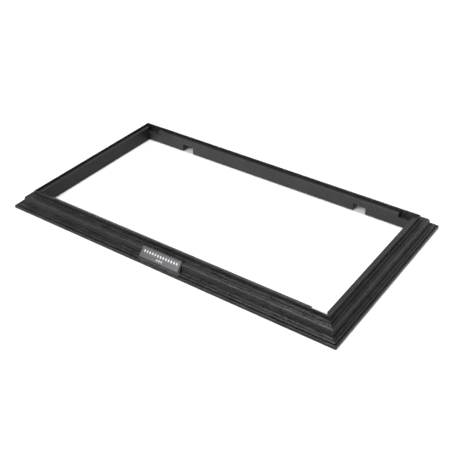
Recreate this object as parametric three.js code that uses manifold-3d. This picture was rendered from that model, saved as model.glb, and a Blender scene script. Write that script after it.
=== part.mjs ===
// Display base frame for a boxed model: four mitred moulded rails with an inner liner, standing on
// four small feet. Millimetres, +Z up, origin at the centre of the footprint on the table.
import * as THREE from 'three';
import { mergeVertices } from 'three/addons/utils/BufferGeometryUtils.js';
import Module from 'manifold-3d';

const wasm = await Module();
wasm.setup();

// ---- driving dimensions ------------------------------------------------------------------------

const frameLength = 350; // along X
const frameWidth = 200; // along Y
const footProud = 0.4; // how far the feet stand below the rails
const clearance = 0.3; // gap between two pieces that touch

// Heights below are above the rails' bottom edge, depths are inwards from their outer face.
const plinth = { height: 2.9, edgeRadius: 0.6, topDepth: 1.35 };
const lowerQuirk = { depth: 1.95, height: 2.4 };
const lowerBead = { depth: 2.95, height: 3.45, radius: 1.1 };
const shelf = { depth: 5.5, height: 3.95, coveRadius: 0.7 };
const riserTilt = 10; // degrees off the vertical
const shoulder = { depth: 10.1, height: 9.15, radius: 3.0, endDegrees: 115 };
const groove = { depth: 9.75, height: 11.25, radius: 0.6 };
const fillet = { start: 10.4, end: 11.2, top: 11.95 };
const upperQuirk = { depth: 12.15, height: 11.0 };
const upperBead = { depth: 12.95, height: 11.5, radius: 0.75, endDegrees: 40 };
const lip = { outerDepth: 14.1, thickness: 1.2, top: 17.05, bottom: 4.5, foot: 12.15 };
const hollow = { wall: 2.9, shelfCeiling: 2.2, riserDepth: 8.5, ceiling: 9.9, chamfer: 0.9 };

const liner = {
  outerDepth: lip.outerDepth + lip.thickness + clearance,
  innerDepth: 19.6,
  bottom: 0.7,
  longTop: 14.2,
  longLoweredTop: 9.2,
  shortTop: 14.9,
  raisedInset: 33, // from the frame's end to where the long liner steps up
};
const notch = { fromCentre: 102, width: 13, top: 8.0, lipMargin: 0.6 };

const screwLine = 11.5; // depth of the screws' row inside a rail
const screwStations = [20, 31]; // from the corner along each rail
const boss = { radius: 2.3, bottom: 4.3, overlap: 0.5, pilotRadius: 1.3, pilotTop: 9.0 };
const bracket = { bottom: 2.5, thickness: 1.5, armWidth: 4.6, reach: 36, holeRadius: 1.3 };
const screw = {
  headRadius: 2.0,
  headHeight: 1.3,
  crown: 0.65, // the flat under the head, and the recess, as a share of the head
  shankRadius: 0.95,
  length: 5.6,
  slot: 0.5,
};
const foot = { radius: 2.1, edge: 0.3 };

// The name plate's seat is a flat facet moulded across the front rail at this slope.
const seat = {
  width: 46,
  slopeDegrees: 49,
  toeDepth: 0.9,
  toeHeight: 2.92,
  crest: 13.2,
  back: 11.9,
  thickness: 1.8,
  innerDepth: 7.4, // inside the riser's material
  overlap: 0.6, // how far the seat's material reaches into the rail's
};
const plate = { width: 42, length: 9.9, start: 2.74, thickness: 0.5, cornerRadius: 0.4 };
const tape = { thickness: 0.2, gap: 0.2, inset: 1.2, cornerRadius: 0.3 };

const arcSteps = 5; // straight pieces in each rounded stretch of the moulding
const roundSides = 16; // sides of a small turned piece
const cornerSteps = 3; // straight pieces in a plate's rounded corner
const past = 1; // how far a cutting block runs past what it cuts
const rootOverlap = 0.1; // how far the seat's root stays above the hollow's ceiling

// ---- materials ---------------------------------------------------------------------------------

const material = (color, roughness, metalness) =>
  new THREE.MeshStandardMaterial({ color, roughness, metalness });
const railBlack = material(0x1c1b1a, 0.38, 0);
const linerBlack = material(0x262525, 0.5, 0);
const plateMetal = material(0x8f8f96, 0.35, 0.8);
const foamGrey = material(0x2c2c2c, 0.95, 0);
const bracketSteel = material(0x9a9c9e, 0.4, 1);
const screwSteel = material(0xb4b6b8, 0.3, 1);
const footRubber = material(0x151515, 0.85, 0);

// ---- geometry helpers --------------------------------------------------------------------------

function solid(geometry) {
  const bare = geometry.clone();
  bare.deleteAttribute('normal');
  bare.deleteAttribute('uv');
  const merged = mergeVertices(bare, 1e-5);
  const mesh = new wasm.Mesh({
    numProp: 3,
    vertProperties: new Float32Array(merged.attributes.position.array),
    triVerts: new Uint32Array(merged.index.array),
  });
  return new wasm.Manifold(mesh);
}

function geometryOf(manifold) {
  const mesh = manifold.getMesh();
  const geometry = new THREE.BufferGeometry();
  geometry.setAttribute('position', new THREE.BufferAttribute(mesh.vertProperties, 3));
  geometry.setIndex(new THREE.BufferAttribute(mesh.triVerts, 1));
  geometry.computeVertexNormals();
  return geometry;
}

function named(name, geometry, look) {
  const mesh = new THREE.Mesh(geometry, look);
  mesh.name = name;
  return mesh;
}

function outline(points) {
  return new THREE.Shape(points.map(([x, y]) => new THREE.Vector2(x, y)));
}

function block(low, high) {
  const size = high.map((value, axis) => value - low[axis]);
  const geometry = new THREE.BoxGeometry(...size);
  return geometry.translate(...low.map((value, axis) => value + size[axis] / 2));
}

function post(radius, bottom, top, x, y) {
  const geometry = new THREE.CylinderGeometry(radius, radius, top - bottom, roundSides);
  return geometry.rotateX(Math.PI / 2).translate(x, y, (bottom + top) / 2);
}

// A section drawn as (depth, height) becomes a bar along X from 0 to its length. Both ends are cut
// at 45 degrees, each a little short, so that two bars that meet at a corner leave a clearance.
function mitredBar(section, length) {
  const options = { depth: 1, bevelEnabled: false, curveSegments: arcSteps };
  const bar = new THREE.ExtrudeGeometry(section, options);
  const position = bar.attributes.position;
  const short = clearance / Math.SQRT2;
  for (let i = 0; i < position.count; i += 1) {
    const depth = position.getX(i);
    const height = position.getY(i);
    const atStart = position.getZ(i) < 0.5;
    const along = atStart ? depth + short : length - depth - short;
    position.setXYZ(i, along, depth, height);
  }
  return bar;
}

// ---- rails -------------------------------------------------------------------------------------

const radians = THREE.MathUtils.degToRad;

// Adds an arc to a path, its angles in degrees.
function arcTo(path, depth, height, radius, start, end) {
  path.absarc(depth, height, radius, radians(start), radians(end), end < start);
}

// The moulding from its foot up over plinth, bead, riser, shoulder and lip, then back inside.
function railSection() {
  const lipRadius = lip.thickness / 2;
  const lipInner = lip.outerDepth + lip.thickness;
  const edgeHeight = plinth.height - plinth.edgeRadius;
  const { riserDepth, ceiling, shelfCeiling, chamfer } = hollow;
  const section = new THREE.Shape();
  section.moveTo(0, 0);
  section.lineTo(0, edgeHeight);
  arcTo(section, plinth.edgeRadius, edgeHeight, plinth.edgeRadius, 180, 90);
  section.lineTo(plinth.topDepth, plinth.height);
  section.lineTo(lowerQuirk.depth, lowerQuirk.height);
  arcTo(section, lowerBead.depth, lowerBead.height, lowerBead.radius, 190, 0);
  arcTo(section, shelf.depth, shelf.height + shelf.coveRadius, shelf.coveRadius, -90, -riserTilt);
  arcTo(section, shoulder.depth, shoulder.height, shoulder.radius, 180 - riserTilt, shoulder.endDegrees);
  arcTo(section, groove.depth, groove.height + groove.radius, groove.radius, 210, 320);
  section.lineTo(fillet.start, fillet.top);
  section.lineTo(fillet.end, fillet.top);
  section.lineTo(upperQuirk.depth, upperQuirk.height);
  arcTo(section, upperBead.depth, upperBead.height, upperBead.radius, 180, upperBead.endDegrees);
  section.lineTo(lip.outerDepth, lip.foot);
  arcTo(section, lip.outerDepth + lipRadius, lip.top - lipRadius, lipRadius, 180, 0);
  section.lineTo(lipInner, lip.bottom);
  section.lineTo(lip.outerDepth, lip.bottom);
  section.lineTo(lip.outerDepth, ceiling);
  section.lineTo(riserDepth + chamfer, ceiling);
  section.lineTo(riserDepth, ceiling - chamfer);
  section.lineTo(riserDepth, shelfCeiling + chamfer);
  section.lineTo(riserDepth - chamfer, shelfCeiling);
  section.lineTo(hollow.wall, shelfCeiling);
  section.lineTo(hollow.wall, 0);
  section.closePath();
  return section;
}

// A hollow rail with screw bosses under its ceiling. A long rail's lip is cut away behind the
// liner's notches.
function hollowRail(length, notchStations) {
  let rail = solid(mitredBar(railSection(), length));
  const bossTop = hollow.ceiling + boss.overlap;
  for (const station of screwStations) {
    for (const along of [station, length - station]) {
      const body = post(boss.radius, boss.bottom, bossTop, along, screwLine);
      const pilot = post(boss.pilotRadius, boss.bottom - past, boss.pilotTop, along, screwLine);
      rail = rail.add(solid(body)).subtract(solid(pilot));
    }
  }
  const half = notch.width / 2 + notch.lipMargin;
  for (const along of notchStations) {
    const low = [along - half, lip.outerDepth - past, 0];
    const high = [along + half, liner.outerDepth, notch.top + notch.lipMargin];
    rail = rail.subtract(solid(block(low, high)));
  }
  return rail;
}

const slope = radians(seat.slopeDegrees);

// A section across the rail drawn as (depth, height), extruded along X about a middle station.
function acrossRail(points, width, middle) {
  const bar = new THREE.ExtrudeGeometry(outline(points), { depth: width, bevelEnabled: false });
  return bar.translate(0, 0, middle - width / 2).applyMatrix4(new THREE.Matrix4().makeBasis(
    new THREE.Vector3(0, 1, 0),
    new THREE.Vector3(0, 0, 1),
    new THREE.Vector3(1, 0, 0),
  ));
}

// The seat fills the space in front of the riser up to the facet's plane and trims off what of the
// shoulder stands in front of it. Its inner side runs parallel to the facet.
function withPlateSeat(rail, middle) {
  const rise = Math.tan(slope);
  const crestDepth = seat.toeDepth + (seat.crest - seat.toeHeight) / rise;
  const root = hollow.shelfCeiling + rootOverlap;
  const shoulderRoot = hollow.ceiling + seat.overlap;
  const innerToeDepth = seat.toeDepth + seat.thickness * Math.sin(slope);
  const innerToeHeight = seat.toeHeight - seat.thickness * Math.cos(slope);
  const fill = [
    [seat.toeDepth, root],
    [seat.toeDepth, seat.toeHeight],
    [crestDepth, seat.crest],
    [seat.back, seat.crest],
    [seat.back, shoulderRoot],
    [innerToeDepth + (shoulderRoot - innerToeHeight) / rise, shoulderRoot],
    [seat.innerDepth, innerToeHeight + (seat.innerDepth - innerToeDepth) * rise],
    [seat.innerDepth, root],
  ];
  const trimReach = 8;
  const trim = [
    [seat.toeDepth, seat.toeHeight],
    [crestDepth, seat.crest],
    [crestDepth - trimReach, seat.crest],
    [seat.toeDepth - trimReach, seat.toeHeight],
  ];
  return rail
    .add(solid(acrossRail(fill, seat.width, middle)))
    .subtract(solid(acrossRail(trim, seat.width, middle)));
}

// ---- liners ------------------------------------------------------------------------------------

function shortLinerGeometry(length) {
  const section = outline([
    [liner.outerDepth, liner.bottom],
    [liner.innerDepth, liner.bottom],
    [liner.innerDepth, liner.shortTop],
    [liner.outerDepth, liner.shortTop],
  ]);
  return geometryOf(solid(mitredBar(section, length)));
}

// A long liner is low at both corners, steps up along its middle and has a notch in its bottom
// edge for each clip of the display board.
function longLinerGeometry(length, notchStations) {
  const section = outline([
    [liner.outerDepth, liner.bottom],
    [liner.innerDepth, liner.bottom],
    [liner.innerDepth, liner.longTop],
    [liner.outerDepth, liner.longTop],
  ]);
  let body = solid(mitredBar(section, length));
  const cut = (low, high) => {
    body = body.subtract(solid(block(low, high)));
  };
  const front = liner.outerDepth - past;
  const rear = liner.innerDepth + past;
  const above = liner.longTop + past;
  cut([0, front, liner.longLoweredTop], [liner.raisedInset, rear, above]);
  cut([length - liner.raisedInset, front, liner.longLoweredTop], [length, rear, above]);
  for (const along of notchStations) {
    const half = notch.width / 2;
    cut([along - half, front, liner.bottom - past], [along + half, rear, notch.top]);
  }
  return geometryOf(body);
}

// ---- corner joint ------------------------------------------------------------------------------

function bracketGeometry() {
  const near = screwLine - bracket.armWidth / 2;
  const far = screwLine + bracket.armWidth / 2;
  const shape = outline([
    [near, near],
    [bracket.reach, near],
    [bracket.reach, far],
    [far, far],
    [far, bracket.reach],
    [near, bracket.reach],
  ]);
  for (const station of screwStations) {
    for (const [x, y] of [[station, screwLine], [screwLine, station]]) {
      shape.holes.push(new THREE.Path().absarc(x, y, bracket.holeRadius, 0, Math.PI * 2, true));
    }
  }
  const options = { depth: bracket.thickness, bevelEnabled: false, curveSegments: roundSides / 2 };
  return new THREE.ExtrudeGeometry(shape, options).translate(0, 0, bracket.bottom);
}

// Head down, shank up, with a cross recess in the head.
function screwGeometry() {
  const { headRadius, headHeight, shankRadius, length, slot, crown } = screw;
  const headTop = bracket.bottom - clearance;
  const headBottom = headTop - headHeight;
  const rim = headTop - headHeight / 2;
  const tip = headTop + length;
  const turned = new THREE.LatheGeometry([
    new THREE.Vector2(0, headBottom),
    new THREE.Vector2(headRadius * crown, headBottom),
    new THREE.Vector2(headRadius, rim),
    new THREE.Vector2(headRadius, headTop),
    new THREE.Vector2(shankRadius, headTop),
    new THREE.Vector2(shankRadius, tip - shankRadius),
    new THREE.Vector2(0, tip),
  ], roundSides).rotateX(Math.PI / 2);
  const arm = headRadius * crown;
  const half = slot / 2;
  const below = headBottom - past;
  return geometryOf(
    solid(turned)
      .subtract(solid(block([-arm, -half, below], [arm, half, rim])))
      .subtract(solid(block([-half, -arm, below], [half, arm, rim]))),
  );
}

function footGeometry() {
  const top = bracket.bottom - clearance;
  return new THREE.LatheGeometry([
    new THREE.Vector2(0, -footProud),
    new THREE.Vector2(foot.radius - foot.edge, -footProud),
    new THREE.Vector2(foot.radius, foot.edge - footProud),
    new THREE.Vector2(foot.radius, top),
    new THREE.Vector2(0, top),
  ], roundSides).rotateX(Math.PI / 2);
}

// ---- name plate --------------------------------------------------------------------------------

function slab(width, length, thickness, radius) {
  const x = width / 2;
  const y = length / 2;
  const shape = new THREE.Shape();
  shape.moveTo(-x + radius, -y);
  shape.lineTo(x - radius, -y);
  shape.absarc(x - radius, -y + radius, radius, -Math.PI / 2, 0, false);
  shape.absarc(x - radius, y - radius, radius, 0, Math.PI / 2, false);
  shape.absarc(-x + radius, y - radius, radius, Math.PI / 2, Math.PI, false);
  shape.absarc(-x + radius, -y + radius, radius, Math.PI, Math.PI * 1.5, false);
  const options = { depth: thickness, bevelEnabled: false, curveSegments: cornerSteps };
  return new THREE.ExtrudeGeometry(shape, options);
}

// Tape and plate lie in a group turned to the seat's slope, with Z away from the seat.
function namePlateGroup() {
  const group = new THREE.Group();
  group.rotation.x = slope;
  const middle = plate.start + plate.length / 2;
  const tapeWidth = plate.width - 2 * tape.inset;
  const tapeLength = plate.length - 2 * tape.inset;
  const tapeShape = slab(tapeWidth, tapeLength, tape.thickness, tape.cornerRadius);
  const tapeMesh = named('name_plate_tape', tapeShape, foamGrey);
  tapeMesh.position.set(0, middle, tape.gap);
  const plateShape = slab(plate.width, plate.length, plate.thickness, plate.cornerRadius);
  const plateMesh = named('name_plate', plateShape, plateMetal);
  plateMesh.position.set(0, middle, 2 * tape.gap + tape.thickness);
  group.add(tapeMesh, plateMesh);
  return group;
}

// ---- assembly ----------------------------------------------------------------------------------

const group = new THREE.Group();
const halfLength = frameLength / 2;
const halfWidth = frameWidth / 2;
const quarter = Math.PI / 2;

// Each side starts at a corner, runs along its own X and goes inwards along its own Y.
const sides = [
  { name: 'front', length: frameLength, x: -halfLength, y: -halfWidth, turn: 0 },
  { name: 'right', length: frameWidth, x: halfLength, y: -halfWidth, turn: quarter },
  { name: 'back', length: frameLength, x: halfLength, y: halfWidth, turn: 2 * quarter },
  { name: 'left', length: frameWidth, x: -halfLength, y: halfWidth, turn: 3 * quarter },
];
const cornerNames = ['front_left', 'front_right', 'back_right', 'back_left'];

sides.forEach(({ name, length, x, y, turn }, index) => {
  const long = length === frameLength;
  const notchStations = long ? [length / 2 - notch.fromCentre, length / 2 + notch.fromCentre] : [];
  const side = new THREE.Group();
  side.position.set(x, y, footProud);
  side.rotation.z = turn;
  let rail = hollowRail(length, notchStations);
  if (name === 'front') rail = withPlateSeat(rail, length / 2);
  side.add(named(`${name}_rail`, geometryOf(rail), railBlack));
  const linerShape = long ? longLinerGeometry(length, notchStations) : shortLinerGeometry(length);
  side.add(named(`${name}_liner`, linerShape, linerBlack));

  const corner = cornerNames[index];
  side.add(named(`corner_bracket_${corner}`, bracketGeometry(), bracketSteel));
  const places = screwStations.flatMap((at) => [[at, screwLine], [screwLine, at]]);
  places.forEach(([px, py], number) => {
    const piece = named(`bracket_screw_${corner}_${number + 1}`, screwGeometry(), screwSteel);
    piece.position.set(px, py, 0);
    side.add(piece);
  });
  const footMesh = named(`foot_${corner}`, footGeometry(), footRubber);
  footMesh.position.set(screwLine, screwLine, 0);
  side.add(footMesh);
  group.add(side);
});

const plateGroup = namePlateGroup();
plateGroup.position.set(0, -halfWidth + seat.toeDepth, footProud + seat.toeHeight);
group.add(plateGroup);

export default group;
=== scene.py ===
"""The looks of a moulded display base frame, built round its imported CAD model.

It remakes the frame's rails, liners, name plate and tape, brackets, screws and feet.

Lengths in this script are millimetres, in each side's own directions: along the rail from its left
end, depth inwards from its outer face, height above its bottom edge. A side's matrix turns them
into Blender's metres in the row frame.
"""
import math

import bmesh
import bpy
import numpy as np
from mathutils import Matrix, Vector, noise
from mathutils.geometry import tessellate_polygon


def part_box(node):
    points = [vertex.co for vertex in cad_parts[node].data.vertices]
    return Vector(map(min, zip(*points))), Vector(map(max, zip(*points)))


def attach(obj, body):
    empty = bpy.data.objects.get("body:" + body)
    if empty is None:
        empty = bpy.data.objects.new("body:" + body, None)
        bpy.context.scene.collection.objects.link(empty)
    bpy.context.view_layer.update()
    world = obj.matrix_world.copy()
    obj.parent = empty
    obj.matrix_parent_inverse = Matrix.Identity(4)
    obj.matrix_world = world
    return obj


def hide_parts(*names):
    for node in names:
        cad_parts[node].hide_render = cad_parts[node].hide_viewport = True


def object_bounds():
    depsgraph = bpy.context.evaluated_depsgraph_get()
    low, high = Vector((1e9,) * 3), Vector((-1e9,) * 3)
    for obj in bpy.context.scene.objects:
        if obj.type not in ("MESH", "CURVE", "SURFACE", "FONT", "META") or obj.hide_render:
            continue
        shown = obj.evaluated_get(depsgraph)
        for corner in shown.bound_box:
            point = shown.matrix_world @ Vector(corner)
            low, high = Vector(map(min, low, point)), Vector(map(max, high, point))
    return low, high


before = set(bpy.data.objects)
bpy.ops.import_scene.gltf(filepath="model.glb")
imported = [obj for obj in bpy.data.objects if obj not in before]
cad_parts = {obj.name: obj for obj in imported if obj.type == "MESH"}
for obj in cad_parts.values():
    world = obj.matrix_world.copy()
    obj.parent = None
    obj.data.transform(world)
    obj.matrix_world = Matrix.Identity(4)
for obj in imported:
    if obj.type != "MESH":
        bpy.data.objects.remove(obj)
cad_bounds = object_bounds()
MM = 0.001

# ---- sizes from the frame ----------------------------------------------------------------------


def cad(node):
    """A CAD node's lowest and highest corners, in millimetres."""
    low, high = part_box(node)
    return low / MM, high / MM


frame_low, frame_high = (corner / MM for corner in cad_bounds)
frame_length = frame_high.x - frame_low.x
frame_width = frame_high.y - frame_low.y
foot_proud = cad("front_rail")[0].z - frame_low.z
lip_top = frame_high.z - frame_low.z - foot_proud
short_liner_low, short_liner_high = cad("left_liner")
long_liner_high = cad("front_liner")[1]
liner_outer = short_liner_low.x - frame_low.x
liner_inner = short_liner_high.x - frame_low.x
liner_bottom = short_liner_low.z - foot_proud
short_liner_top = short_liner_high.z - foot_proud
long_liner_top = long_liner_high.z - foot_proud

# ---- the pieces' own sizes ---------------------------------------------------------------------

plinth = dict(height=2.9, edge=0.6, top_depth=1.35)
lower_quirk = (1.95, 2.4)
lower_bead = dict(depth=2.95, height=3.45, radius=1.1)
shelf = dict(depth=5.5, height=3.95, cove_radius=0.7)
riser_tilt = 10.0
shoulder = dict(depth=10.1, height=9.15, radius=3.0, end=115.0)
groove = dict(depth=9.75, height=11.25, radius=0.6)
fillet = dict(start=10.4, end=11.2, top=11.95)
upper_quirk = dict(depth=12.15, height=11.0)
upper_bead = dict(depth=12.95, height=11.5, radius=0.75)
fillet_radius = 0.6
lip = dict(outer=14.1, inner=15.3, bottom=4.5)
wall = 2.9
hollow = dict(shelf_ceiling=2.2, riser_depth=8.5, ceiling=9.9, chamfer=0.9)
seat = dict(width=46.0, slope=49.0, toe=(0.9, 2.92), crest=13.2, back=11.9, edge=0.35)
raised_inset = 33.0
lowered_top = 9.2
notch = dict(from_centre=102.0, width=13.0, top=8.0, margin=0.6)
boss = dict(
    depth=11.5,
    stations=(20.0, 31.0),
    radius=2.3,
    bottom=4.3,
    top=10.4,
    pilot=1.3,
    pilot_top=9.0,
    edge=0.15,
)
thread = dict(pitch=0.75, core=0.72, crest=0.94, width=0.32, point=0.9)
screw_head = dict(height=1.3, dome=0.75, dome_angle=1.45, edge=0.12)
cross_recess = dict(reach=0.58, half=0.24, deep=0.75, taper=0.7)
sole = dict(edge=0.35, top_edge=0.1, dish=(0.12, 0.10), dish_share=0.45, rim_share=0.7)
plate = dict(
    width=42.0,
    length=9.9,
    thickness=0.5,
    corner=0.4,
    least_corner=0.08,
    edge=0.12,
    border=0.55,
    sunk=0.06,
)
lozenge_rows = (
    dict(middle=1.35, count=13, pitch=2.9, half_width=0.95, half_height=1.55),
    dict(middle=-2.35, count=3, pitch=2.4, half_width=0.85, half_height=1.05),
)
lozenge = dict(root=0.02, edge=0.03, face=0.055, taper=0.8)

mitre_gap = 0.06  # between two mitred rails
end_chamfer = 0.07  # round a rail's mitred ends
cut_step = 0.02  # between the two stations on either side of a step along a rail
grain_depth = 0.07
grain_rise = 0.02  # the most that the grain stands proud of the section
grain_share_on_seat = 0.25
grain_fade = (0.4, 1.5)  # heights between which the grain fades in
# The grain's two layers by their length along the rail, their width across it and their share, and
# how far, over what lengths and at what slope the grain wanders sideways.
grain_layers = ((13.0, 0.85, 0.55), (6.0, 0.4, 0.45))
grain_wander = dict(reach=1.4, along=46.0, across=9.0, slope=0.02)
profile_step = 0.18  # between a section's points
station_step = 1.7  # between sections along a rail
end_station = 0.12  # from a rail's end to its next section, the length of the end's chamfer
liner_edge = 0.22
bracket_edge = 0.18
tape_edge = 0.04

# ---- small helpers -----------------------------------------------------------------------------


def side_matrix(name):
    """Turns (along, depth, height) of one side into metres in the row frame."""
    half_x, half_y = frame_length / 2, frame_width / 2
    corner = {
        "front": (-half_x, -half_y, 0),
        "right": (half_x, -half_y, 90),
        "back": (half_x, half_y, 180),
        "left": (-half_x, half_y, 270),
    }[name]
    x, y, turn = corner
    place = Matrix.Translation((x * MM, y * MM, foot_proud * MM))
    return place @ Matrix.Rotation(math.radians(turn), 4, "Z") @ Matrix.Scale(MM, 4)


def side_length(name):
    """A side's outer length, from mitre tip to mitre tip."""
    return frame_length if name in ("front", "back") else frame_width


def arc(centre, radius, start, end, pieces=24):
    """Points on an arc, its angles in degrees."""
    angles = np.radians(np.linspace(start, end, pieces + 1))
    return [(centre[0] + radius * math.cos(a), centre[1] + radius * math.sin(a)) for a in angles]


def evenly(points, step):
    """The same path with points about a step apart, its first and last kept."""
    line = np.array(points, float)
    far = np.concatenate([[0], np.cumsum(np.linalg.norm(np.diff(line, axis=0), axis=1))])
    keep = np.concatenate([[True], np.diff(far) > 1e-9])
    line, far = line[keep], far[keep]
    at = np.linspace(0, far[-1], max(2, round(far[-1] / step) + 1))
    return np.stack([np.interp(at, far, line[:, k]) for k in range(2)], axis=1)


def softened(line, rounds):
    """The same path with its corners eased, its ends kept."""
    for _ in range(rounds):
        inner = 0.25 * line[:-2] + 0.5 * line[1:-1] + 0.25 * line[2:]
        line = np.concatenate([line[:1], inner, line[-1:]])
    return line


def outward(line):
    """Unit normals of an open path, to the left of its direction."""
    run = np.gradient(line, axis=0)
    run /= np.maximum(np.linalg.norm(run, axis=1, keepdims=True), 1e-9)
    return np.stack([-run[:, 1], run[:, 0]], axis=1)


def smoothstep(low, high, value):
    """0 below low, 1 above high, and a smooth step between them."""
    t = np.clip((value - low) / (high - low), 0, 1)
    return t * t * (3 - 2 * t)


def shade(mesh, sharp_degrees=38):
    """Smooth shading that breaks at edges sharper than the given angle."""
    work = bmesh.new()
    work.from_mesh(mesh)
    limit = math.radians(sharp_degrees)
    for face in work.faces:
        face.smooth = True
    for edge in work.edges:
        edge.smooth = edge.is_manifold and edge.calc_face_angle(0) < limit
    work.to_mesh(mesh)
    work.free()


def combined(mesh, tool, operation):
    """The mesh with a tool mesh joined to it or cut from it."""
    body = bpy.data.objects.new("combined_body", mesh)
    other = bpy.data.objects.new("combined_tool", tool)
    for made in (body, other):
        bpy.context.scene.collection.objects.link(made)
    change = body.modifiers.new("combine", "BOOLEAN")
    change.object = other
    change.operation = operation
    change.solver = "EXACT"
    bpy.context.view_layer.update()
    result = bpy.data.meshes.new_from_object(body.evaluated_get(bpy.context.evaluated_depsgraph_get()))
    for made in (body, other):
        bpy.data.objects.remove(made)
    return result


def turned_mesh(name, profile, sides=24, ripple=None):
    """A closed body turned about Z from (radius, height) points; its two ends lie on the axis."""
    work = bmesh.new()
    rings = []
    for radius, height in profile:
        if radius < 1e-6:
            rings.append([work.verts.new((0, 0, height))])
            continue
        ring = []
        for k in range(sides):
            angle = 2 * math.pi * k / sides
            r = radius + (ripple(angle, height) if ripple else 0.0)
            ring.append(work.verts.new((r * math.cos(angle), r * math.sin(angle), height)))
        rings.append(ring)
    for low, high in zip(rings, rings[1:]):
        for k in range(sides):
            j = (k + 1) % sides
            corners = [low[k % len(low)], low[j % len(low)], high[j % len(high)], high[k % len(high)]]
            work.faces.new(list(dict.fromkeys(corners)))
    bmesh.ops.recalc_face_normals(work, faces=work.faces)
    mesh = bpy.data.meshes.new(name)
    work.to_mesh(mesh)
    work.free()
    return mesh


def rounded_edges(work, edges, width, segments):
    """Rounds edges of a bmesh by a width in its own units."""
    bmesh.ops.bevel(
        work,
        geom=edges,
        offset=width,
        segments=segments,
        profile=0.5,
        affect="EDGES",
        clamp_overlap=True,
    )


def bevelled_copy(node, width, segments=2):
    """A CAD node's own shape with its flat faces whole and its edges rounded, in metres."""
    work = bmesh.new()
    work.from_mesh(node.data)
    work.transform(node.matrix_world)
    bmesh.ops.remove_doubles(work, verts=work.verts, dist=1e-6)
    bmesh.ops.dissolve_limit(work, angle_limit=math.radians(1), verts=work.verts, edges=work.edges)
    edges = [e for e in work.edges if e.is_manifold and e.calc_face_angle(0) > math.radians(40)]
    rounded_edges(work, edges, width * MM, segments)
    mesh = bpy.data.meshes.new(f"{node.name}_rounded")
    work.to_mesh(mesh)
    work.free()
    shade(mesh)
    return mesh


def piece(name, mesh, material, nodes=()):
    """Adds a finished mesh to the object, standing for CAD nodes."""
    mesh.materials.clear()
    mesh.materials.append(material)
    made = bpy.data.objects.new(name, mesh)
    bpy.context.scene.collection.objects.link(made)
    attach(made, "root")
    if nodes:
        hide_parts(*nodes)
    return made


def placed(made, x, y, z):
    """Puts a piece whose mesh is in millimetres at a place given in millimetres."""
    made.matrix_world = Matrix.Translation((x * MM, y * MM, z * MM)) @ Matrix.Scale(MM, 4)
    return made


# ---- materials ---------------------------------------------------------------------------------


class Nodes:
    """A short way to write a material's node tree."""

    def __init__(self, name):
        self.material = bpy.data.materials.new(name)
        self.material.use_nodes = True
        self.tree = self.material.node_tree
        self.shader = self.tree.nodes["Principled BSDF"]
        self.place = self.tree.nodes.new("ShaderNodeTexCoord").outputs["Object"]

    def add(self, kind, inputs=None, **settings):
        """A new node with its sockets filled and its settings made."""
        node = self.tree.nodes.new(kind)
        for key, value in settings.items():
            setattr(node, key, value)
        for key, value in (inputs or {}).items():
            self.put(node.inputs[key], value)
        return node

    def put(self, socket, value):
        """Links a socket to another, or gives it a value."""
        if isinstance(value, bpy.types.NodeSocket):
            self.tree.links.new(value, socket)
        else:
            socket.default_value = value

    def mapped(self, scale, turn=0.0):
        """The row frame's coordinates, turned about Z and then scaled."""
        turned = self.add("ShaderNodeMapping", {"Vector": self.place, "Rotation": (0, 0, turn)})
        return self.add("ShaderNodeMapping", {"Vector": turned.outputs[0], "Scale": scale}).outputs[0]

    def noise(self, vector, scale, detail=3.0, roughness=0.5):
        """Noise from 0 to 1."""
        inputs = {"Vector": vector, "Scale": scale, "Detail": detail, "Roughness": roughness}
        return self.add("ShaderNodeTexNoise", inputs).outputs["Fac"]

    def ramp(self, value, low, high, to_low=0.0, to_high=1.0):
        """A smooth step of value from low to high."""
        inputs = {0: value, 1: low, 2: high, 3: to_low, 4: to_high}
        return self.add("ShaderNodeMapRange", inputs, interpolation_type="SMOOTHSTEP").outputs[0]

    def math(self, operation, a, b):
        """One arithmetic step of two values."""
        return self.add("ShaderNodeMath", {0: a, 1: b}, operation=operation).outputs[0]

    def colours(self, value, dark, light):
        """A mix of two colours by a value. The colour sockets of a mix node are 6 and 7."""
        mix = self.add("ShaderNodeMix", data_type="RGBA")
        self.put(mix.inputs[0], value)
        self.put(mix.inputs[6], (*dark, 1))
        self.put(mix.inputs[7], (*light, 1))
        return mix.outputs[2]

    def bump(self, height, distance, strength=1.0, under=None):
        """A bumped normal, its distance in metres, over another one if given."""
        inputs = {"Height": height, "Distance": distance, "Strength": strength}
        if under is not None:
            inputs["Normal"] = under
        return self.add("ShaderNodeBump", inputs).outputs[0]

    def finish(self, **sockets):
        """Fills the shader's sockets, an underscore for each space, and gives the material."""
        for key, value in sockets.items():
            self.put(self.shader.inputs[key.replace("_", " ")], value)
        return self.material


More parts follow.
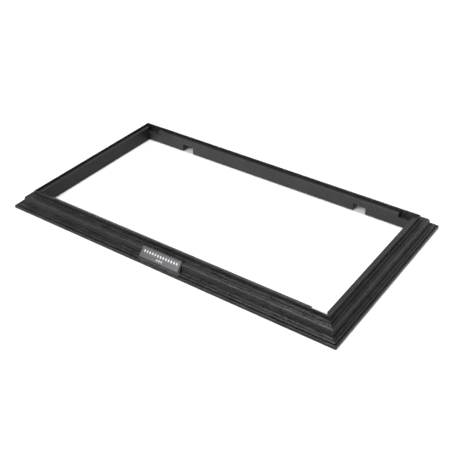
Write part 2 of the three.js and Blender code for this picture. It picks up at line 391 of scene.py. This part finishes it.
def rail_material(name, turn):
    """Black plastic with a shallow moulded wood grain that runs along the rail."""
    n = Nodes(name)
    figure = n.noise(n.mapped((95, 640, 640), turn), 1.0, 3, 0.6)
    flecks = n.noise(n.mapped((210, 1050, 1050), turn), 1.0, 2, 0.5)
    streaks = n.noise(n.mapped((110, 1500, 1500), turn), 1.0, 4, 0.55)
    pores = n.noise(n.mapped((260, 3800, 3800), turn), 1.0, 2, 0.5)
    blotches = n.noise(n.mapped((60, 60, 60), turn), 1.0, 3, 0.5)
    relief = n.math("ADD", n.ramp(streaks, 0.35, 0.65), n.ramp(pores, 0.45, 0.7, 0.0, 0.6))
    broad = n.bump(n.ramp(figure, 0.3, 0.7), 0.00015, 0.9)
    flecked = n.bump(n.ramp(flecks, 0.4, 0.62), 0.00010, 0.8, broad)
    shading = n.math("ADD", n.ramp(blotches, 0.3, 0.7, 0.0, 0.4), n.ramp(flecks, 0.45, 0.65, 0.0, 0.6))
    colour = n.colours(shading, (0.0030, 0.0029, 0.0028), (0.0100, 0.0098, 0.0096))
    rough = n.math("ADD", n.ramp(figure, 0.35, 0.65, 0.22, 0.36), n.ramp(blotches, 0.3, 0.7, -0.02, 0.04))
    return n.finish(
        Base_Color=colour,
        Roughness=rough,
        Normal=n.bump(relief, 0.00006, 0.55, flecked),
        Specular_IOR_Level=0.18,
    )


def liner_material(name, gloss):
    """Smooth dark grey plastic with a faint spark-eroded texture."""
    n = Nodes(name)
    grain = n.noise(n.mapped((2600, 2600, 2600)), 1.0, 3, 0.6)
    blotches = n.noise(n.mapped((45, 45, 45)), 1.0, 3, 0.5)
    colour = n.colours(n.ramp(blotches, 0.3, 0.7), (0.0080, 0.0079, 0.0079), (0.0120, 0.0119, 0.0118))
    rough = n.math("ADD", n.ramp(blotches, 0.3, 0.7, 0.38, 0.45), n.ramp(grain, 0.3, 0.7, -0.03, 0.03))
    return n.finish(
        Base_Color=colour, Roughness=rough, Normal=n.bump(grain, 0.00002, 0.5), Specular_IOR_Level=gloss
    )


def plate_material(name):
    """Brushed aluminium under a clear violet-grey coat."""
    n = Nodes(name)
    brushing = n.noise(n.mapped((350, 9000, 9000)), 1.0, 3, 0.6)
    clouds = n.noise(n.mapped((120, 120, 120)), 1.0, 2, 0.5)
    colour = n.colours(n.ramp(clouds, 0.3, 0.7), (0.018, 0.018, 0.020), (0.038, 0.038, 0.041))
    rough = n.ramp(brushing, 0.3, 0.7, 0.30, 0.44)
    return n.finish(
        Base_Color=colour, Roughness=rough, Normal=n.bump(brushing, 0.00002, 0.5), Metallic=0.55
    )


def bright_material(name):
    """Polished ornament of the plate."""
    n = Nodes(name)
    brushing = n.noise(n.mapped((1200, 1200, 1200)), 1.0, 3, 0.6)
    colour = n.colours(n.ramp(brushing, 0.3, 0.7), (0.16, 0.16, 0.17), (0.26, 0.26, 0.27))
    return n.finish(Base_Color=colour, Roughness=n.ramp(brushing, 0.3, 0.7, 0.28, 0.42), Metallic=0.35)


def steel_material(name):
    """Zinc plated pressed steel."""
    n = Nodes(name)
    crystals = n.noise(n.mapped((900, 900, 900)), 1.0, 4, 0.6)
    clouds = n.noise(n.mapped((110, 110, 110)), 1.0, 3, 0.5)
    colour = n.colours(n.ramp(clouds, 0.3, 0.7), (0.50, 0.50, 0.50), (0.64, 0.64, 0.63))
    rough = n.math("ADD", n.ramp(clouds, 0.3, 0.7, 0.28, 0.40), n.ramp(crystals, 0.3, 0.7, -0.05, 0.05))
    return n.finish(
        Base_Color=colour, Roughness=rough, Normal=n.bump(crystals, 0.00002, 0.5), Metallic=1.0
    )


def rubber_material(name):
    """Black rubber with a little dust in its grain."""
    n = Nodes(name)
    grain = n.noise(n.mapped((3200, 3200, 3200)), 1.0, 4, 0.6)
    dust = n.noise(n.mapped((300, 300, 300)), 1.0, 3, 0.5)
    colour = n.colours(n.ramp(dust, 0.35, 0.75), (0.012, 0.012, 0.012), (0.030, 0.029, 0.028))
    rough = n.ramp(dust, 0.3, 0.7, 0.72, 0.88)
    return n.finish(Base_Color=colour, Roughness=rough, Normal=n.bump(grain, 0.00003, 0.6))


def foam_material(name):
    """Black closed-cell foam."""
    n = Nodes(name)
    cells = n.add("ShaderNodeTexVoronoi", {"Vector": n.place, "Scale": 3500.0}).outputs["Distance"]
    colour = n.colours(n.ramp(cells, 0.1, 0.6), (0.010, 0.010, 0.010), (0.045, 0.045, 0.046))
    return n.finish(Base_Color=colour, Roughness=0.95, Normal=n.bump(cells, 0.00006, 0.7))


rail_long_look = rail_material("rail_long_plastic", 0.0)
rail_short_look = rail_material("rail_short_plastic", math.pi / 2)
# The short liners' plastic is a shaded copy of the long liners' plastic. Its lower gloss is painted shade
# that darkens the side liners, which face away from the key light.
liner_lit_and_shaded_looks = {
    "long": liner_material("liner_long_plastic", 0.32),
    "short": liner_material("liner_short_plastic_painted_shade", 0.13),
}
plate_look = plate_material("plate_metal")
bright_look = bright_material("plate_bright")
steel_look = steel_material("zinc_steel")
rubber_look = rubber_material("foot_rubber")
foam_look = foam_material("tape_foam")

# ---- rails -------------------------------------------------------------------------------------


def moulding_path():
    """The moulding's outer side, from the bottom edge over the lip to the lip's inner bottom."""
    lip_radius = (lip["inner"] - lip["outer"]) / 2
    edge_height = plinth["height"] - plinth["edge"]
    bead = (lower_bead["depth"], lower_bead["height"])
    cove_centre = (shelf["depth"], shelf["height"] + shelf["cove_radius"])
    groove_centre = (groove["depth"], groove["height"] + groove["radius"])
    small_bead = (upper_bead["depth"], upper_bead["height"])
    fillet_centre = (lip["outer"] - fillet_radius, upper_bead["height"] + upper_bead["radius"] + 0.5)
    points = [(0.0, 0.0), (0.0, edge_height)]
    points += arc((plinth["edge"], edge_height), plinth["edge"], 180, 90, 8)
    points += [(plinth["top_depth"], plinth["height"]), lower_quirk]
    points += arc(bead, lower_bead["radius"], 190, 0)
    points += arc(cove_centre, shelf["cove_radius"], -90, -riser_tilt, 8)
    points += arc(
        (shoulder["depth"], shoulder["height"]), shoulder["radius"], 180 - riser_tilt, shoulder["end"]
    )
    points += arc(groove_centre, groove["radius"], 210, 320, 8)
    points += [(fillet["start"], fillet["top"]), (fillet["end"], fillet["top"])]
    points += [(upper_quirk["depth"], upper_quirk["height"])]
    points += arc(small_bead, upper_bead["radius"], 180, 40)
    points += arc(fillet_centre, fillet_radius, -90, 0, 8)
    points += arc((lip["outer"] + lip_radius, lip_top - lip_radius), lip_radius, 180, 0, 12)
    points += [(lip["inner"], lip["bottom"])]
    return softened(evenly(points, profile_step), 2)


def hollow_path():
    """The hollow underside, from the lip's inner bottom back to the plinth's bottom edge."""
    return np.array([
        (lip["outer"], lip["bottom"]),
        (lip["outer"], hollow["ceiling"]),
        (hollow["riser_depth"] + hollow["chamfer"], hollow["ceiling"]),
        (hollow["riser_depth"], hollow["ceiling"] - hollow["chamfer"]),
        (hollow["riser_depth"], hollow["shelf_ceiling"] + hollow["chamfer"]),
        (hollow["riser_depth"] - hollow["chamfer"], hollow["shelf_ceiling"]),
        (wall, hollow["shelf_ceiling"]),
        (wall, 0.0),
    ])


def seat_path(outer):
    """The same outer path with the name plate's flat seat in place of its mouldings."""
    slope = math.tan(math.radians(seat["slope"]))
    toe_depth, toe_height = seat["toe"]
    crest_depth = toe_depth + (seat["crest"] - toe_height) / slope
    facet = [
        (toe_depth, toe_height),
        (crest_depth, seat["crest"]),
        (seat["back"], seat["crest"]),
        (seat["back"], upper_quirk["height"]),
    ]
    first = int(np.argmin(np.linalg.norm(outer - facet[0], axis=1)))
    last = int(np.argmin(np.linalg.norm(outer - facet[-1], axis=1)))
    count = last - first + 1
    line = evenly(facet, 0.05)
    line = line[np.round(np.linspace(0, len(line) - 1, count)).astype(int)]
    changed = outer.copy()
    changed[first:last + 1] = line
    changed[first - 2:last + 3] = softened(changed[first - 2:last + 3], 1)
    return changed


def grain(along, girth, seed):
    """Depth of the moulded wood grain at a place, from -1 where it is raised to 1 where it is sunk."""
    wander = noise.noise(Vector((along / grain_wander["along"], girth / grain_wander["across"], seed)))
    across = girth + grain_wander["reach"] * wander + grain_wander["slope"] * along
    depth = 0.0
    for (length, width, share), shift in zip(grain_layers, (7, 19)):
        depth += share * noise.noise(Vector((along / length, across / width, seed + shift)))
    return depth


def stations(length, extra=()):
    """Places along a rail, as shares of its length from end to end."""
    count = round(length / station_step)
    even = np.linspace(0, 1, count + 1)
    close = np.array([end_station / length, 1 - end_station / length])
    return np.unique(np.concatenate([even, close, np.array(extra, float)]))


def lifted(path):
    """The lip cut short behind a clip notch: its lower part is drawn up over the notch."""
    start = notch["top"] + 2 * notch["margin"]
    end = notch["top"] + notch["margin"]
    on_lip = (path[:, 0] > lip["outer"] - 0.01) & (path[:, 1] < start)
    changed = path.copy()
    share = (start - path[:, 1]) / (start - lip["bottom"])
    changed[on_lip, 1] = (start - share * (start - end))[on_lip]
    return changed


def boss_mesh(length):
    """The screw bosses of one rail, each a tube closed at its top inside the rail's ceiling."""
    profile = [
        (0.0, boss["pilot_top"]), (boss["pilot"], boss["pilot_top"]),
        (boss["pilot"], boss["bottom"] + boss["edge"]), (boss["pilot"] + boss["edge"], boss["bottom"]),
        (boss["radius"] - boss["edge"], boss["bottom"]), (boss["radius"], boss["bottom"] + boss["edge"]),
        (boss["radius"], boss["top"]), (0.0, boss["top"]),
    ]
    single = turned_mesh("boss", profile)
    work = bmesh.new()
    for station in boss["stations"]:
        for along in (station, length - station):
            before = len(work.verts)
            work.from_mesh(single)
            work.verts.ensure_lookup_table()
            moved = work.verts[before:]
            bmesh.ops.translate(work, verts=moved, vec=(along, boss["depth"], 0))
    mesh = bpy.data.meshes.new("bosses")
    work.to_mesh(mesh)
    work.free()
    return mesh


def rail_mesh(name):
    """One rail in metres: its section swept from mitre to mitre, with bosses inside."""
    length = side_length(name)
    outer = moulding_path()
    inner = hollow_path()
    middle = length / 2
    half_seat = seat["width"] / 2
    has_seat = name == "front"
    is_long = name in ("front", "back")
    notch_half = notch["width"] / 2 + notch["margin"]
    notch_middles = [middle + sign * notch["from_centre"] for sign in (-1, 1)] if is_long else []
    extra = []
    for at in notch_middles:
        for side in (-1, 1):
            edge = at + side * notch_half
            extra += [(edge - cut_step) / length, (edge + cut_step) / length]
    if has_seat:
        for side in (-1, 1):
            edge = middle + side * half_seat
            extra += [(edge + side * cut_step) / length, (edge - side * seat["edge"]) / length]
    shares = stations(length, extra)
    girth = np.concatenate([[0], np.cumsum(np.linalg.norm(np.diff(outer, axis=0), axis=1))])
    facing = outward(outer)
    seated = seat_path(outer) if has_seat else outer
    on_show = outer[:, 0] < lip["inner"] - 0.05
    depth_of_grain = grain_depth * smoothstep(*grain_fade, outer[:, 1]) * on_show
    seed = 31.7 * ("front", "right", "back", "left").index(name)
    gap = mitre_gap / math.sqrt(2)
    rows = []
    for share in shares:
        centre_along = share * length
        in_seat = has_seat and abs(centre_along - middle) < half_seat
        path = seated if in_seat else outer
        chamfer = end_chamfer if share in (0.0, 1.0) else 0.0
        start = path[:, 0] + gap
        along = start + share * (length - 2 * start)
        sunk = np.array([grain(a, t, seed) for a, t in zip(along, girth)]) * depth_of_grain
        if in_seat:
            sunk = sunk * grain_share_on_seat
        moved = path - facing * (np.maximum(sunk, -grain_rise) + chamfer)[:, None]
        inside = inner
        if any(abs(centre_along - at) < notch_half for at in notch_middles):
            moved = lifted(moved)
            inside = lifted(inner)
        section = np.concatenate([moved, inside])
        start = section[:, 0] + gap
        along = start + share * (length - 2 * start)
        rows.append(np.column_stack([along, section]))
    count = len(rows[0])
    vertices = np.concatenate(rows)
    faces = []
    for row in range(len(rows) - 1):
        a, b = row * count, (row + 1) * count
        faces += [(a + i, a + (i + 1) % count, b + (i + 1) % count, b + i) for i in range(count)]
    section = [Vector((d, h, 0)) for d, h in rows[0][:, 1:]]
    caps = tessellate_polygon([section])
    last = (len(rows) - 1) * count
    for tri in caps:
        a, b, c = (section[i] for i in tri)
        turns_left = (b - a).cross(c - a).z > 0
        ahead = tri if turns_left else tri[::-1]
        faces.append(tuple(ahead[::-1]))
        faces.append(tuple(last + i for i in ahead))
    mesh = bpy.data.meshes.new(f"{name}_rail_mesh")
    mesh.from_pydata([tuple(v) for v in vertices], [], faces)
    mesh.update()
    work = bmesh.new()
    work.from_mesh(mesh)
    bmesh.ops.recalc_face_normals(work, faces=work.faces)
    work.to_mesh(mesh)
    work.free()
    mesh = combined(mesh, boss_mesh(length), "UNION")
    mesh.transform(side_matrix(name))
    shade(mesh)
    return mesh


for side in ("front", "right", "back", "left"):
    look = rail_long_look if side in ("front", "back") else rail_short_look
    piece(f"moulded_{side}_rail", rail_mesh(side), look, [f"{side}_rail"])

# ---- liners ------------------------------------------------------------------------------------


def liner_outline(name):
    """A liner's outline as (kind, offset along, height). Start and end are its mitred ends."""
    length = side_length(name)
    if name in ("left", "right"):
        return [
            ("start", 0, liner_bottom), ("end", 0, liner_bottom),
            ("end", 0, short_liner_top), ("start", 0, short_liner_top),
        ]
    points = [("start", 0, liner_bottom)]
    for sign in (-1, 1):
        centre = length / 2 + sign * notch["from_centre"]
        low, high = centre - notch["width"] / 2, centre + notch["width"] / 2
        points += [("at", low, liner_bottom), ("at", low, notch["top"])]
        points += [("at", high, notch["top"]), ("at", high, liner_bottom)]
    points += [("end", 0, liner_bottom), ("end", 0, lowered_top)]
    points += [("at", length - raised_inset, lowered_top), ("at", length - raised_inset, long_liner_top)]
    points += [("at", raised_inset, long_liner_top), ("at", raised_inset, lowered_top)]
    points += [("start", 0, lowered_top)]
    return points


def liner_mesh(name):
    """One liner in metres: its outline drawn through its thickness, mitred at both ends."""
    length = side_length(name)
    gap = mitre_gap / math.sqrt(2)
    work = bmesh.new()
    rings = []
    for depth in (liner_outer, liner_inner):
        ring = []
        for kind, offset, height in liner_outline(name):
            along = {"start": depth + gap, "end": length - depth - gap, "at": offset}[kind]
            ring.append(work.verts.new((along, depth, height)))
        rings.append(ring)
    outer, inner = rings
    work.faces.new(outer)
    work.faces.new(inner[::-1])
    count = len(outer)
    for i in range(count):
        j = (i + 1) % count
        work.faces.new((outer[j], outer[i], inner[i], inner[j]))
    bmesh.ops.recalc_face_normals(work, faces=work.faces)
    rounded_edges(work, list(work.edges), liner_edge, 3)
    mesh = bpy.data.meshes.new(f"{name}_liner_mesh")
    work.to_mesh(mesh)
    work.free()
    mesh.transform(side_matrix(name))
    shade(mesh)
    return mesh


for side in ("front", "right", "back", "left"):
    look = liner_lit_and_shaded_looks["long" if side in ("front", "back") else "short"]
    made = piece(f"smooth_{side}_liner", liner_mesh(side), look, [f"{side}_liner"])
    made.modifiers.new("even_normals", "WEIGHTED_NORMAL").keep_sharp = True

# ---- name plate --------------------------------------------------------------------------------

plate_low, plate_high = cad("name_plate")
plate_centre = (plate_low + plate_high) / 2
plate_matrix = (
    Matrix.Translation(plate_centre * MM)
    @ Matrix.Rotation(math.radians(seat["slope"]), 4, "X")
    @ Matrix.Scale(MM, 4)
)


def plate_ring(inset):
    """The plate's rounded outline drawn in by an inset, anticlockwise."""
    radius = max(plate["corner"] - inset, plate["least_corner"])
    x = plate["width"] / 2 - inset - radius
    y = plate["length"] / 2 - inset - radius
    ring = []
    for centre, start in (((x, y), 0), ((-x, y), 90), ((-x, -y), 180), ((x, -y), 270)):
        ring += arc(centre, radius, start, start + 90, 5)
    return ring


def plate_mesh():
    """A rounded slab whose face is sunk a little inside a plain border."""
    half, edge = plate["thickness"] / 2, plate["edge"]
    angles = np.linspace(0, math.pi / 2, 4)
    turn = [(edge - edge * math.sin(a), edge - edge * math.cos(a)) for a in angles]
    levels = [(inset, rise - half) for inset, rise in turn]
    levels += [(inset, half - rise) for inset, rise in turn[::-1]]
    field = edge + plate["border"]
    levels += [(field, half), (field + plate["sunk"], half - plate["sunk"])]
    work = bmesh.new()
    rings = [[work.verts.new((x, y, z)) for x, y in plate_ring(inset)] for inset, z in levels]
    for low, high in zip(rings, rings[1:]):
        for i in range(len(low)):
            j = (i + 1) % len(low)
            work.faces.new((low[i], low[j], high[j], high[i]))
    work.faces.new(rings[0][::-1])
    work.faces.new(rings[-1])
    mesh = bpy.data.meshes.new("plate_body")
    work.to_mesh(mesh)
    work.free()
    shade(mesh, 30)
    return mesh


def add_lozenges(work, middle, count, pitch, half_width, half_height):
    """A row of small raised lozenges on the plate's sunk face."""
    field = plate["thickness"] / 2 - plate["sunk"]
    ring = [(half_width, 0), (0, half_height), (-half_width, 0), (0, -half_height)]
    steps = ((1, -lozenge["root"]), (1, lozenge["edge"]), (lozenge["taper"], lozenge["face"]))
    for k in range(count):
        x = (k - (count - 1) / 2) * pitch
        base, edge, face = (
            [work.verts.new((x + share * u, middle + share * v, field + rise)) for u, v in ring]
            for share, rise in steps
        )
        work.faces.new(base[::-1])
        work.faces.new(face)
        for low, high in ((base, edge), (edge, face)):
            for i in range(4):
                j = (i + 1) % 4
                work.faces.new((low[i], low[j], high[j], high[i]))


work = bmesh.new()
for row in lozenge_rows:
    add_lozenges(work, **row)
ornament = bpy.data.meshes.new("plate_ornament")
work.to_mesh(ornament)
work.free()
shade(ornament, 20)
made = piece("bordered_name_plate", plate_mesh(), plate_look, ["name_plate"])
made.matrix_world = plate_matrix
piece("name_plate_ornament", ornament, bright_look).matrix_world = plate_matrix
tape_shape = bevelled_copy(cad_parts["name_plate_tape"], tape_edge)
piece("foam_plate_tape", tape_shape, foam_look, ["name_plate_tape"])

# ---- corner brackets, screws and feet ----------------------------------------------------------


def thread_ripple(angle, height):
    """How far a screw's thread stands out from its core."""
    turn = (height / thread["pitch"] - angle / (2 * math.pi)) % 1
    return (thread["crest"] - thread["core"]) * max(0.0, 1 - abs(turn - 0.5) / thread["width"])


def recess_mesh(head_radius):
    """The cross that is cut into a screw's head, narrowing upwards."""
    reach, half = head_radius * cross_recess["reach"], cross_recess["half"]
    arms = [(reach, half), (half, half), (half, reach), (-half, reach), (-half, half), (-reach, half)]
    ring = arms + [(-u, -v) for u, v in arms]
    taper = cross_recess["taper"]
    work = bmesh.new()
    low = [work.verts.new((u, v, -1.0)) for u, v in ring]
    high = [work.verts.new((u * taper, v * taper, cross_recess["deep"])) for u, v in ring]
    work.faces.new(low)
    work.faces.new(high)
    for i in range(len(ring)):
        j = (i + 1) % len(ring)
        work.faces.new((low[i], low[j], high[j], high[i]))
    bmesh.ops.recalc_face_normals(work, faces=work.faces)
    mesh = bpy.data.meshes.new("screw_recess")
    work.to_mesh(mesh)
    work.free()
    return mesh


def screw_mesh(length, head_radius):
    """A pan head screw, its head down, with a cross recess and a real thread."""
    start, edge, point = screw_head["height"], screw_head["edge"], thread["point"]
    angles = np.linspace(0, screw_head["dome_angle"], 9)
    rise = start * screw_head["dome"]
    profile = [(0.0, 0.0)]
    profile += [(head_radius * math.sin(a), rise * (1 - math.cos(a))) for a in angles[1:]]
    profile += [(head_radius, start - edge), (head_radius - edge, start)]
    steps = round((length - start) / thread["pitch"] * 8)
    heights = np.linspace(start + 0.02, length - point, steps)
    profile += [(thread["core"], z) for z in heights]
    profile += [(0.35, length - 0.35), (0.0, length)]

    def ripple(angle, height):
        inside_thread = start + 0.01 < height < length - point + 0.02
        return thread_ripple(angle, height) if inside_thread else 0.0

    body = turned_mesh("screw_body", profile, 20, ripple)
    mesh = combined(body, recess_mesh(head_radius), "DIFFERENCE")
    shade(mesh, 32)
    return mesh


def foot_mesh(height, radius):
    """A soft foot with a rounded lower edge and a shallow dish in its sole."""
    edge, top_edge = sole["edge"], sole["top_edge"]
    deep, shallow = sole["dish"]
    angles = np.linspace(0, math.pi / 2, 7)
    profile = [(0.0, deep), (sole["dish_share"] * radius, shallow)]
    profile += [(sole["rim_share"] * radius, 0.0)]
    profile += [(radius - edge + edge * math.sin(a), edge - edge * math.cos(a)) for a in angles]
    profile += [(radius, height - top_edge), (radius - top_edge, height), (0.0, height)]
    mesh = turned_mesh("foot_body", profile, 40)
    shade(mesh, 40)
    return mesh


screw_low, screw_high = cad("bracket_screw_front_left_1")
screw_shape = screw_mesh(screw_high.z - screw_low.z, (screw_high.x - screw_low.x) / 2)
foot_low, foot_high = cad("foot_front_left")
foot_shape = foot_mesh(foot_high.z - foot_low.z, (foot_high.x - foot_low.x) / 2)

for corner in ("front_left", "front_right", "back_right", "back_left"):
    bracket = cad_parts[f"corner_bracket_{corner}"]
    shape = bevelled_copy(bracket, bracket_edge)
    piece(f"pressed_bracket_{corner}", shape, steel_look, [bracket.name])
    for number in (1, 2, 3, 4):
        node = f"bracket_screw_{corner}_{number}"
        low, high = cad(node)
        made = piece(f"threaded_screw_{corner}_{number}", screw_shape, steel_look, [node])
        placed(made, (low.x + high.x) / 2, (low.y + high.y) / 2, low.z)
    low, high = cad(f"foot_{corner}")
    made = piece(f"rounded_foot_{corner}", foot_shape, rubber_look, [f"foot_{corner}"])
    placed(made, (low.x + high.x) / 2, (low.y + high.y) / 2, low.z)

# ---- camera, floor and light -------------------------------------------------------------------

# From here on lengths are metres and angles are radians. Yaw turns the camera from +Y towards +X,
# and pitch tips it down.
camera_place = Vector((0.36500, -0.52021, 0.42749))
camera_yaw, camera_pitch, camera_roll = -0.6014, 0.6073, 0.0026
camera_lens = 63.16

camera = bpy.data.objects.new("camera", bpy.data.cameras.new("camera"))
ahead = Vector((
    math.sin(camera_yaw) * math.cos(camera_pitch),
    math.cos(camera_yaw) * math.cos(camera_pitch),
    -math.sin(camera_pitch),
))
right = Vector((math.cos(camera_yaw), -math.sin(camera_yaw), 0))
above = right.cross(ahead)
right_rolled = math.cos(camera_roll) * right + math.sin(camera_roll) * above
above_rolled = -math.sin(camera_roll) * right + math.cos(camera_roll) * above
camera.matrix_world = Matrix.Translation(camera_place) @ Matrix((
    right_rolled, above_rolled, -ahead)).transposed().to_4x4()
camera.data.lens = camera_lens
camera.data.sensor_width = 36
camera.data.clip_start = 0.01
bpy.context.scene.collection.objects.link(camera)
bpy.context.scene.camera = camera

floor_mesh = bpy.data.meshes.new("floor")
reach = 4.0
floor_corners = [(-reach, -reach, 0), (reach, -reach, 0), (reach, reach, 0), (-reach, reach, 0)]
floor_mesh.from_pydata(floor_corners, [], [(0, 1, 2, 3)])
floor = bpy.data.objects.new("floor", floor_mesh)
floor.location.z = cad_bounds[0].z
bpy.context.scene.collection.objects.link(floor)
paper = Nodes("pale_paper")
floor_mesh.materials.append(paper.finish(Base_Color=(0.44, 0.44, 0.44, 1), Roughness=0.9))

# The sky is bright up to one elevation and dim above another, so upward faces stay dark.
bright_below, dim_above = math.radians(34), math.radians(50)
bright_sky, dim_sky = 1.6, 0.28
world = bpy.data.worlds.new("studio")
world.use_nodes = True
sky = world.node_tree
up = sky.nodes.new("ShaderNodeSeparateXYZ")
sky.links.new(sky.nodes.new("ShaderNodeTexCoord").outputs["Generated"], up.inputs[0])
fade = sky.nodes.new("ShaderNodeMapRange")
fade.interpolation_type = "SMOOTHSTEP"
sky.links.new(up.outputs["Z"], fade.inputs[0])
fade_values = (math.sin(bright_below), math.sin(dim_above), bright_sky, dim_sky)
for socket, value in zip(range(1, 5), fade_values):
    fade.inputs[socket].default_value = value
sky.links.new(fade.outputs[0], sky.nodes["Background"].inputs["Strength"])
sky.nodes["Background"].inputs["Color"].default_value = (1, 1, 1, 1)
bpy.context.scene.world = world


def softbox(name, place, size, power):
    """A rectangular area light that faces the object."""
    data = bpy.data.lights.new(name, "AREA")
    data.shape = "RECTANGLE"
    data.size, data.size_y = size
    data.energy = power
    made = bpy.data.objects.new(name, data)
    made.location = place
    made.rotation_euler = (-Vector(place)).to_track_quat("-Z", "Y").to_euler()
    bpy.context.scene.collection.objects.link(made)


softbox("key", (-0.25, -1.50, 1.15), (1.1, 1.2), 62)
softbox("overhead", (0.1, -0.1, 2.2), (0.9, 0.9), 64)

bpy.context.scene.view_settings.view_transform = "Standard"
